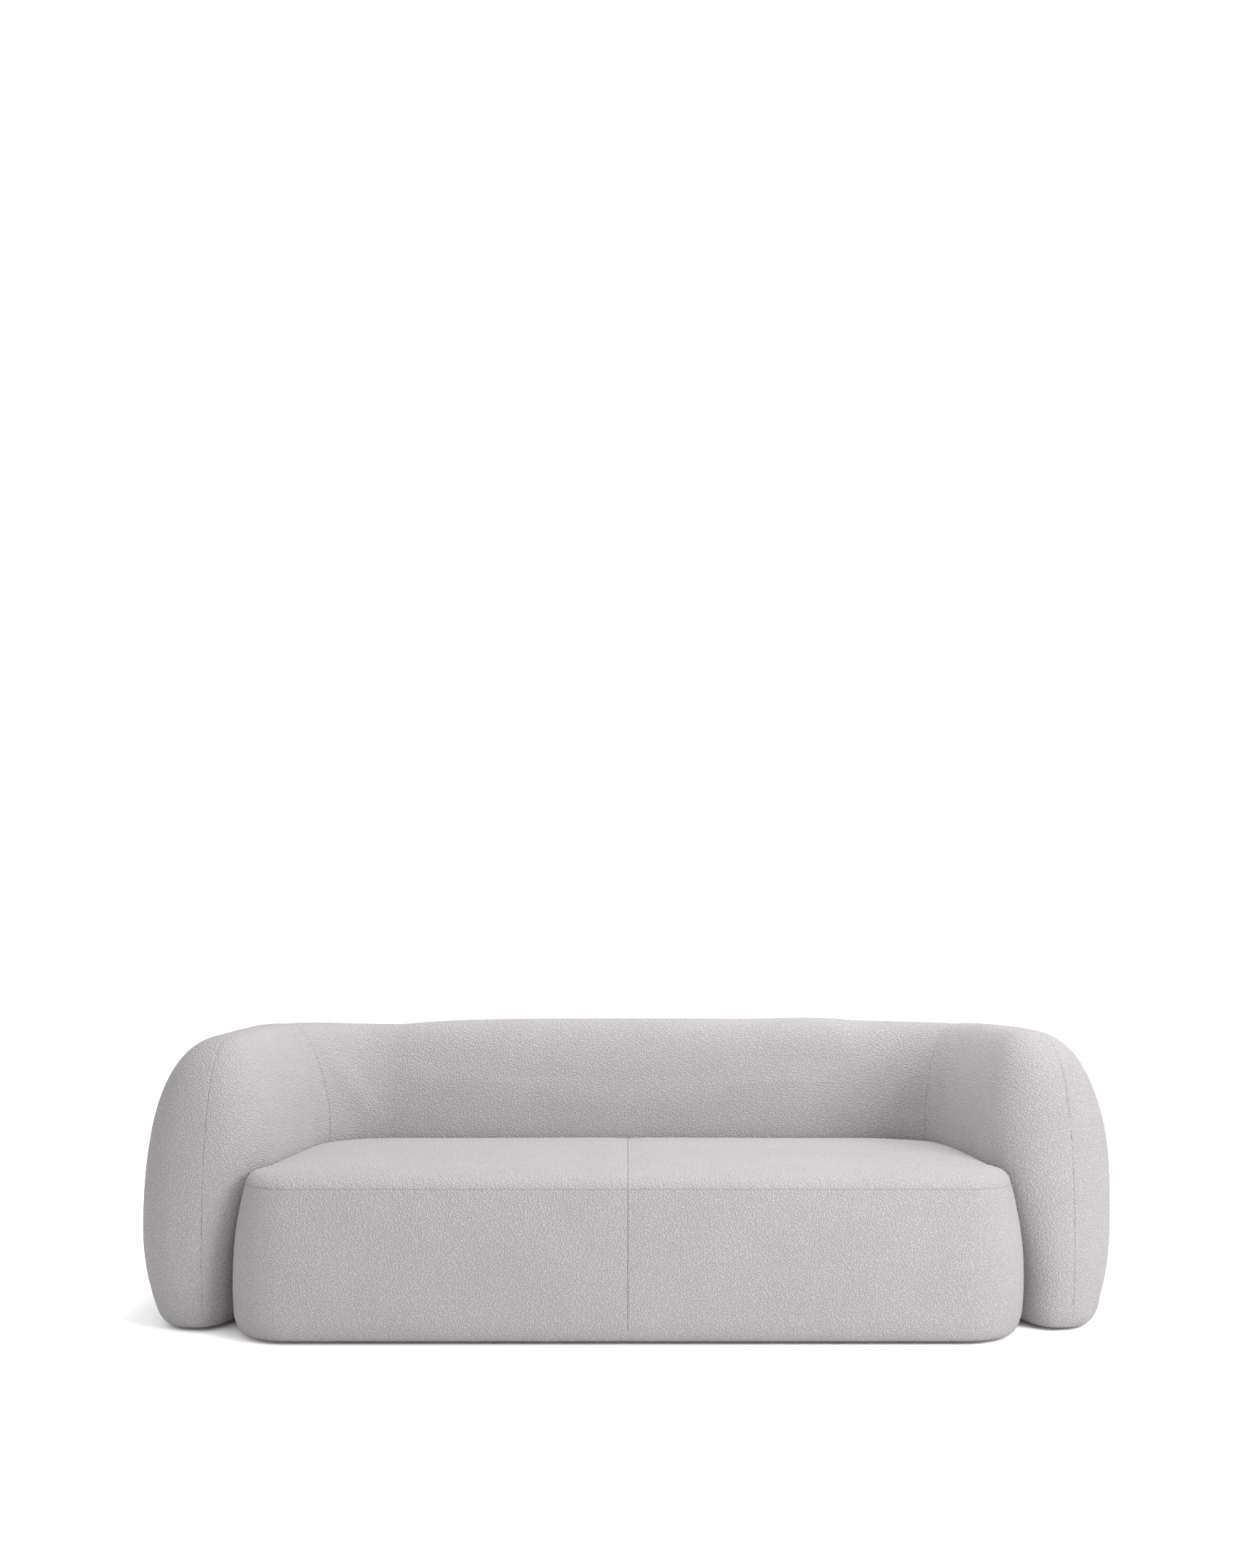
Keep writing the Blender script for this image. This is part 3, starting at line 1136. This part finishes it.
dress([name for name in cad if name.startswith("glide_")], moulded_plastic())


# Joining plates

# Two zinc-plated steel strips, 3 mm thick, hold the units together. They are cold-rolled and barrel
# plated. A pan-head screw goes up through each end's hole into the base board above it.
plates = ["joining_plate_left", "joining_plate_right"]
dress(plates, zinc)
hole_from_end = 0.02
points = []
for plate in plates:
    low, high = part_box(plate)
    holes = (low[1] + hole_from_end, high[1] - hole_from_end)
    points += [((low[0] + high[0]) / 2, y, low[2]) for y in holes]
guide = guide_mesh("joining_screws", points, [(0, 0, -1)] * len(points))
set_along("joining_screws", screws, guide, Head=0.012, Length=0.018)


# Studio

# A white floor that runs back out of sight, a big soft lamp overhead, a second one to the right of the
# camera, and a white surround. The camera stands level, four metres in front of the sofa.
def seen_directly(tree):
    """1 for rays from the camera, and for those that metal or glass sends on; 0 for diffuse light."""
    camera_ray, glossy, clear = "Is Camera Ray", "Is Glossy Ray", "Is Transmission Ray"
    path = add_node(tree, "ShaderNodeLightPath").outputs
    mirror = add_node(tree, "ShaderNodeMath", {0: path[glossy], 1: path[clear]}, operation="MAXIMUM")
    return add_node(tree, "ShaderNodeMath", {0: path[camera_ray], 1: mirror}, operation="MAXIMUM")


def white_floor():
    """Pale paint that takes the shadow, and looks pure white to the camera."""
    seen_brightness = 2.0
    material = bpy.data.materials.new("studio_floor_painted")
    material.use_nodes = True
    tree = material.node_tree
    tree.nodes.clear()
    paint = add_node(tree, "ShaderNodeBsdfDiffuse", Color=linear("#FAFAFA"))
    bright = add_node(tree, "ShaderNodeBsdfDiffuse", Color=[seen_brightness] * 3 + [1])
    mixed = add_node(tree, "ShaderNodeMixShader", {0: seen_directly(tree), 1: paint, 2: bright})
    add_node(tree, "ShaderNodeOutputMaterial", Surface=mixed)
    return material


side, front, rear = 14, -12, 16
floor_mesh = bpy.data.meshes.new("studio_floor")
floor_corners = [(-side, front, 0), (side, front, 0), (side, rear, 0), (-side, rear, 0)]
floor_mesh.from_pydata(floor_corners, [], [(0, 1, 2, 3)])
coat(floor_mesh, white_floor())
placed_object("studio_floor", floor_mesh)

world = bpy.data.worlds.new("studio_air")
bpy.context.scene.world = world
world.use_nodes = True
air = world.node_tree
air.nodes.clear()
soft_light = add_node(air, "ShaderNodeBackground", Color=linear("#FFFFFF"), Strength=0.545)
white_wall = add_node(air, "ShaderNodeBackground", Color=linear("#FFFFFF"), Strength=1.0)
chosen = add_node(air, "ShaderNodeMixShader", {0: seen_directly(air), 1: soft_light, 2: white_wall})
add_node(air, "ShaderNodeOutputWorld", Surface=chosen)


def soft_lamp(name, place, aim, size, watts):
    lamp = bpy.data.lights.new(name, "AREA")
    lamp.shape = "DISK"
    lamp.size = size
    lamp.energy = watts
    holder = placed_object(name, lamp)
    holder.location = place
    holder.rotation_euler = (Vector(aim) - Vector(place)).to_track_quat("-Z", "Y").to_euler()


soft_lamp("overhead_lamp", place=(0.65, 0.3, 3.9), aim=(0, 0, 0.3), size=3.3, watts=100)
soft_lamp("side_lamp", place=(2.9, -3.1, 2.3), aim=(0.1, -0.1, 0.4), size=1.8, watts=83)

photo_height, focal_pixels, horizon_pixel = 2156, 2380, 1225
camera_distance, eye_height = 4.67, 1.088
view = bpy.data.cameras.new("camera")
view.sensor_fit = "AUTO"
view.sensor_width = 36
view.lens = focal_pixels / photo_height * view.sensor_width
view.shift_y = (horizon_pixel - photo_height / 2) / photo_height
camera = placed_object("camera", view)
camera.location = (0, -camera_distance, eye_height)
camera.rotation_euler = (math.pi / 2, 0, 0)
bpy.context.scene.camera = camera
bpy.context.scene.view_settings.view_transform = "Standard"
